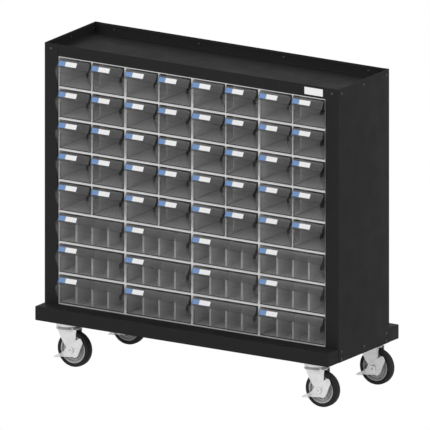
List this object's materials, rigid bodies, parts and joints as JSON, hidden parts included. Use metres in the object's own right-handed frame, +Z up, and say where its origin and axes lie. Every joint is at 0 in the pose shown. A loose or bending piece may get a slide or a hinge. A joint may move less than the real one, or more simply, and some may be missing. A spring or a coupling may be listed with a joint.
{
  "type": "parts bin cabinet",
  "caption": "Mobile steel parts cabinet with a recessed top tray and a grid of pull-out smoked plastic bins, on braked swivel casters.",
  "frame": {"origin": "on the floor, below the middle of the whole object's box", "axes": "+Z up, +X along the width to the right as seen from the front, fronts of the bins towards -Y"},
  "size_m": [1.1652, 0.4448, 1.0977],
  "materials": {
    "black_steel": "satin black powder coat",
    "light_grey_plastic": "moulded, satin",
    "smoked_plastic": "clear smoked styrene",
    "zinc_steel": "bright zinc plate",
    "dark_screw": "black zinc",
    "white_card": "blank card",
    "black_tyre": "black rubber on a grey rim"
  },
  "bodies": {
    "cabinet": {"base_platform": "black_steel", "cross_channels": "black_steel", "side_panel_left": "black_steel", "side_panel_right": "black_steel", "back_panel": "black_steel", "top_tray": "black_steel", "small_housings": "light_grey_plastic", "wide_housings": "light_grey_plastic", "panel_screws": "dark_screw", "card_plate": "white_card", "caster_plates": "zinc_steel", "caster_bolts": "zinc_steel"},
    "fork_front_left": {"fork_front_left": "zinc_steel"},
    "wheel_front_left": {"wheel_front_left": "black_tyre"},
    "brake_front_left": {"brake_front_left": "zinc_steel"},
    "fork_front_right": {"fork_front_right": "zinc_steel"},
    "wheel_front_right": {"wheel_front_right": "black_tyre"},
    "brake_front_right": {"brake_front_right": "zinc_steel"},
    "fork_rear_left": {"fork_rear_left": "zinc_steel"},
    "wheel_rear_left": {"wheel_rear_left": "black_tyre"},
    "brake_rear_left": {"brake_rear_left": "zinc_steel"},
    "fork_rear_right": {"fork_rear_right": "zinc_steel"},
    "wheel_rear_right": {"wheel_rear_right": "black_tyre"},
    "brake_rear_right": {"brake_rear_right": "zinc_steel"},
    "bin_r1_c1_left": {"bin_r1_c1_left": "smoked_plastic"},
    "bin_r1_c1_right": {"bin_r1_c1_right": "smoked_plastic"},
    "bin_r1_c2_left": {"bin_r1_c2_left": "smoked_plastic"},
    "bin_r1_c2_right": {"bin_r1_c2_right": "smoked_plastic"},
    "bin_r1_c3_left": {"bin_r1_c3_left": "smoked_plastic"},
    "bin_r1_c3_right": {"bin_r1_c3_right": "smoked_plastic"},
    "bin_r1_c4_left": {"bin_r1_c4_left": "smoked_plastic"},
    "bin_r1_c4_right": {"bin_r1_c4_right": "smoked_plastic"},
    "bin_pair_r2_c1": {"bin_pair_r2_c1": "smoked_plastic"},
    "bin_pair_r2_c2": {"bin_pair_r2_c2": "smoked_plastic"},
    "bin_pair_r2_c3": {"bin_pair_r2_c3": "smoked_plastic"},
    "bin_pair_r2_c4": {"bin_pair_r2_c4": "smoked_plastic"},
    "bin_pair_r3_c1": {"bin_pair_r3_c1": "smoked_plastic"},
    "bin_pair_r3_c2": {"bin_pair_r3_c2": "smoked_plastic"},
    "bin_pair_r3_c3": {"bin_pair_r3_c3": "smoked_plastic"},
    "bin_pair_r3_c4": {"bin_pair_r3_c4": "smoked_plastic"},
    "bin_pair_r4_c1": {"bin_pair_r4_c1": "smoked_plastic"},
    "bin_pair_r4_c2": {"bin_pair_r4_c2": "smoked_plastic"},
    "bin_pair_r4_c3": {"bin_pair_r4_c3": "smoked_plastic"},
    "bin_pair_r4_c4": {"bin_pair_r4_c4": "smoked_plastic"},
    "bin_pair_r5_c1": {"bin_pair_r5_c1": "smoked_plastic"},
    "bin_pair_r5_c2": {"bin_pair_r5_c2": "smoked_plastic"},
    "bin_pair_r5_c3": {"bin_pair_r5_c3": "smoked_plastic"},
    "bin_pair_r5_c4": {"bin_pair_r5_c4": "smoked_plastic"},
    "wide_bin_r6_c1": {"wide_bin_r6_c1": "smoked_plastic"},
    "wide_bin_r6_c2": {"wide_bin_r6_c2": "smoked_plastic"},
    "wide_bin_r6_c3": {"wide_bin_r6_c3": "smoked_plastic"},
    "wide_bin_r6_c4": {"wide_bin_r6_c4": "smoked_plastic"},
    "wide_bin_r7_c1": {"wide_bin_r7_c1": "smoked_plastic"},
    "wide_bin_r7_c2": {"wide_bin_r7_c2": "smoked_plastic"},
    "wide_bin_r7_c3": {"wide_bin_r7_c3": "smoked_plastic"},
    "wide_bin_r7_c4": {"wide_bin_r7_c4": "smoked_plastic"},
    "wide_bin_r8_c1": {"wide_bin_r8_c1": "smoked_plastic"},
    "wide_bin_r8_c2": {"wide_bin_r8_c2": "smoked_plastic"},
    "wide_bin_r8_c3": {"wide_bin_r8_c3": "smoked_plastic"},
    "wide_bin_r8_c4": {"wide_bin_r8_c4": "smoked_plastic"}
  },
  "joints": [
    {"name": "swivel_front_left", "type": "hinge", "parent": "cabinet", "child": "fork_front_left", "pos_m": [-0.4799, -0.17035, 0.154], "axis": [0, 0, 1], "continuous": true},
    {"name": "roll_front_left", "type": "hinge", "parent": "fork_front_left", "child": "wheel_front_left", "pos_m": [-0.4539, -0.17035, 0.0615], "axis": [0, 1, 0], "continuous": true},
    {"name": "press_brake_front_left", "type": "hinge", "parent": "fork_front_left", "child": "brake_front_left", "pos_m": [-0.4539, -0.17035, 0.0615], "axis": [0, -1, 0], "range_deg": [0, 12]},
    {"name": "swivel_front_right", "type": "hinge", "parent": "cabinet", "child": "fork_front_right", "pos_m": [0.4951, -0.17035, 0.154], "axis": [0, 0, 1], "continuous": true},
    {"name": "roll_front_right", "type": "hinge", "parent": "fork_front_right", "child": "wheel_front_right", "pos_m": [0.5211, -0.17035, 0.0615], "axis": [0, 1, 0], "continuous": true},
    {"name": "press_brake_front_right", "type": "hinge", "parent": "fork_front_right", "child": "brake_front_right", "pos_m": [0.5211, -0.17035, 0.0615], "axis": [0, -1, 0], "range_deg": [0, 12]},
    {"name": "swivel_rear_left", "type": "hinge", "parent": "cabinet", "child": "fork_rear_left", "pos_m": [-0.4799, 0.17035, 0.154], "axis": [0, 0, 1], "continuous": true},
    {"name": "roll_rear_left", "type": "hinge", "parent": "fork_rear_left", "child": "wheel_rear_left", "pos_m": [-0.4539, 0.17035, 0.0615], "axis": [0, 1, 0], "continuous": true},
    {"name": "press_brake_rear_left", "type": "hinge", "parent": "fork_rear_left", "child": "brake_rear_left", "pos_m": [-0.4539, 0.17035, 0.0615], "axis": [0, -1, 0], "range_deg": [0, 12]},
    {"name": "swivel_rear_right", "type": "hinge", "parent": "cabinet", "child": "fork_rear_right", "pos_m": [0.4951, 0.17035, 0.154], "axis": [0, 0, 1], "continuous": true},
    {"name": "roll_rear_right", "type": "hinge", "parent": "fork_rear_right", "child": "wheel_rear_right", "pos_m": [0.5211, 0.17035, 0.0615], "axis": [0, 1, 0], "continuous": true},
    {"name": "press_brake_rear_right", "type": "hinge", "parent": "fork_rear_right", "child": "brake_rear_right", "pos_m": [0.5211, 0.17035, 0.0615], "axis": [0, -1, 0], "range_deg": [0, 12]},
    {"name": "slide_bin_r1_c1_left", "type": "slide", "parent": "cabinet", "child": "bin_r1_c1_left", "axis": [0, -1, 0], "range_m": [0, 0.214]},
    {"name": "slide_bin_r1_c1_right", "type": "slide", "parent": "cabinet", "child": "bin_r1_c1_right", "axis": [0, -1, 0], "range_m": [0, 0.214]},
    {"name": "slide_bin_r1_c2_left", "type": "slide", "parent": "cabinet", "child": "bin_r1_c2_left", "axis": [0, -1, 0], "range_m": [0, 0.214]},
    {"name": "slide_bin_r1_c2_right", "type": "slide", "parent": "cabinet", "child": "bin_r1_c2_right", "axis": [0, -1, 0], "range_m": [0, 0.214]},
    {"name": "slide_bin_r1_c3_left", "type": "slide", "parent": "cabinet", "child": "bin_r1_c3_left", "axis": [0, -1, 0], "range_m": [0, 0.214]},
    {"name": "slide_bin_r1_c3_right", "type": "slide", "parent": "cabinet", "child": "bin_r1_c3_right", "axis": [0, -1, 0], "range_m": [0, 0.214]},
    {"name": "slide_bin_r1_c4_left", "type": "slide", "parent": "cabinet", "child": "bin_r1_c4_left", "axis": [0, -1, 0], "range_m": [0, 0.214]},
    {"name": "slide_bin_r1_c4_right", "type": "slide", "parent": "cabinet", "child": "bin_r1_c4_right", "axis": [0, -1, 0], "range_m": [0, 0.214]},
    {"name": "slide_bin_pair_r2_c1", "type": "slide", "parent": "cabinet", "child": "bin_pair_r2_c1", "axis": [0, -1, 0], "range_m": [0, 0.214]},
    {"name": "slide_bin_pair_r2_c2", "type": "slide", "parent": "cabinet", "child": "bin_pair_r2_c2", "axis": [0, -1, 0], "range_m": [0, 0.214]},
    {"name": "slide_bin_pair_r2_c3", "type": "slide", "parent": "cabinet", "child": "bin_pair_r2_c3", "axis": [0, -1, 0], "range_m": [0, 0.214]},
    {"name": "slide_bin_pair_r2_c4", "type": "slide", "parent": "cabinet", "child": "bin_pair_r2_c4", "axis": [0, -1, 0], "range_m": [0, 0.214]},
    {"name": "slide_bin_pair_r3_c1", "type": "slide", "parent": "cabinet", "child": "bin_pair_r3_c1", "axis": [0, -1, 0], "range_m": [0, 0.214]},
    {"name": "slide_bin_pair_r3_c2", "type": "slide", "parent": "cabinet", "child": "bin_pair_r3_c2", "axis": [0, -1, 0], "range_m": [0, 0.214]},
    {"name": "slide_bin_pair_r3_c3", "type": "slide", "parent": "cabinet", "child": "bin_pair_r3_c3", "axis": [0, -1, 0], "range_m": [0, 0.214]},
    {"name": "slide_bin_pair_r3_c4", "type": "slide", "parent": "cabinet", "child": "bin_pair_r3_c4", "axis": [0, -1, 0], "range_m": [0, 0.214]},
    {"name": "slide_bin_pair_r4_c1", "type": "slide", "parent": "cabinet", "child": "bin_pair_r4_c1", "axis": [0, -1, 0], "range_m": [0, 0.214]},
    {"name": "slide_bin_pair_r4_c2", "type": "slide", "parent": "cabinet", "child": "bin_pair_r4_c2", "axis": [0, -1, 0], "range_m": [0, 0.214]},
    {"name": "slide_bin_pair_r4_c3", "type": "slide", "parent": "cabinet", "child": "bin_pair_r4_c3", "axis": [0, -1, 0], "range_m": [0, 0.214]},
    {"name": "slide_bin_pair_r4_c4", "type": "slide", "parent": "cabinet", "child": "bin_pair_r4_c4", "axis": [0, -1, 0], "range_m": [0, 0.214]},
    {"name": "slide_bin_pair_r5_c1", "type": "slide", "parent": "cabinet", "child": "bin_pair_r5_c1", "axis": [0, -1, 0], "range_m": [0, 0.214]},
    {"name": "slide_bin_pair_r5_c2", "type": "slide", "parent": "cabinet", "child": "bin_pair_r5_c2", "axis": [0, -1, 0], "range_m": [0, 0.214]},
    {"name": "slide_bin_pair_r5_c3", "type": "slide", "parent": "cabinet", "child": "bin_pair_r5_c3", "axis": [0, -1, 0], "range_m": [0, 0.214]},
    {"name": "slide_bin_pair_r5_c4", "type": "slide", "parent": "cabinet", "child": "bin_pair_r5_c4", "axis": [0, -1, 0], "range_m": [0, 0.214]},
    {"name": "slide_wide_bin_r6_c1", "type": "slide", "parent": "cabinet", "child": "wide_bin_r6_c1", "axis": [0, -1, 0], "range_m": [0, 0.214]},
    {"name": "slide_wide_bin_r6_c2", "type": "slide", "parent": "cabinet", "child": "wide_bin_r6_c2", "axis": [0, -1, 0], "range_m": [0, 0.214]},
    {"name": "slide_wide_bin_r6_c3", "type": "slide", "parent": "cabinet", "child": "wide_bin_r6_c3", "axis": [0, -1, 0], "range_m": [0, 0.214]},
    {"name": "slide_wide_bin_r6_c4", "type": "slide", "parent": "cabinet", "child": "wide_bin_r6_c4", "axis": [0, -1, 0], "range_m": [0, 0.214]},
    {"name": "slide_wide_bin_r7_c1", "type": "slide", "parent": "cabinet", "child": "wide_bin_r7_c1", "axis": [0, -1, 0], "range_m": [0, 0.214]},
    {"name": "slide_wide_bin_r7_c2", "type": "slide", "parent": "cabinet", "child": "wide_bin_r7_c2", "axis": [0, -1, 0], "range_m": [0, 0.214]},
    {"name": "slide_wide_bin_r7_c3", "type": "slide", "parent": "cabinet", "child": "wide_bin_r7_c3", "axis": [0, -1, 0], "range_m": [0, 0.214]},
    {"name": "slide_wide_bin_r7_c4", "type": "slide", "parent": "cabinet", "child": "wide_bin_r7_c4", "axis": [0, -1, 0], "range_m": [0, 0.214]},
    {"name": "slide_wide_bin_r8_c1", "type": "slide", "parent": "cabinet", "child": "wide_bin_r8_c1", "axis": [0, -1, 0], "range_m": [0, 0.214]},
    {"name": "slide_wide_bin_r8_c2", "type": "slide", "parent": "cabinet", "child": "wide_bin_r8_c2", "axis": [0, -1, 0], "range_m": [0, 0.214]},
    {"name": "slide_wide_bin_r8_c3", "type": "slide", "parent": "cabinet", "child": "wide_bin_r8_c3", "axis": [0, -1, 0], "range_m": [0, 0.214]},
    {"name": "slide_wide_bin_r8_c4", "type": "slide", "parent": "cabinet", "child": "wide_bin_r8_c4", "axis": [0, -1, 0], "range_m": [0, 0.214]}
  ]
}
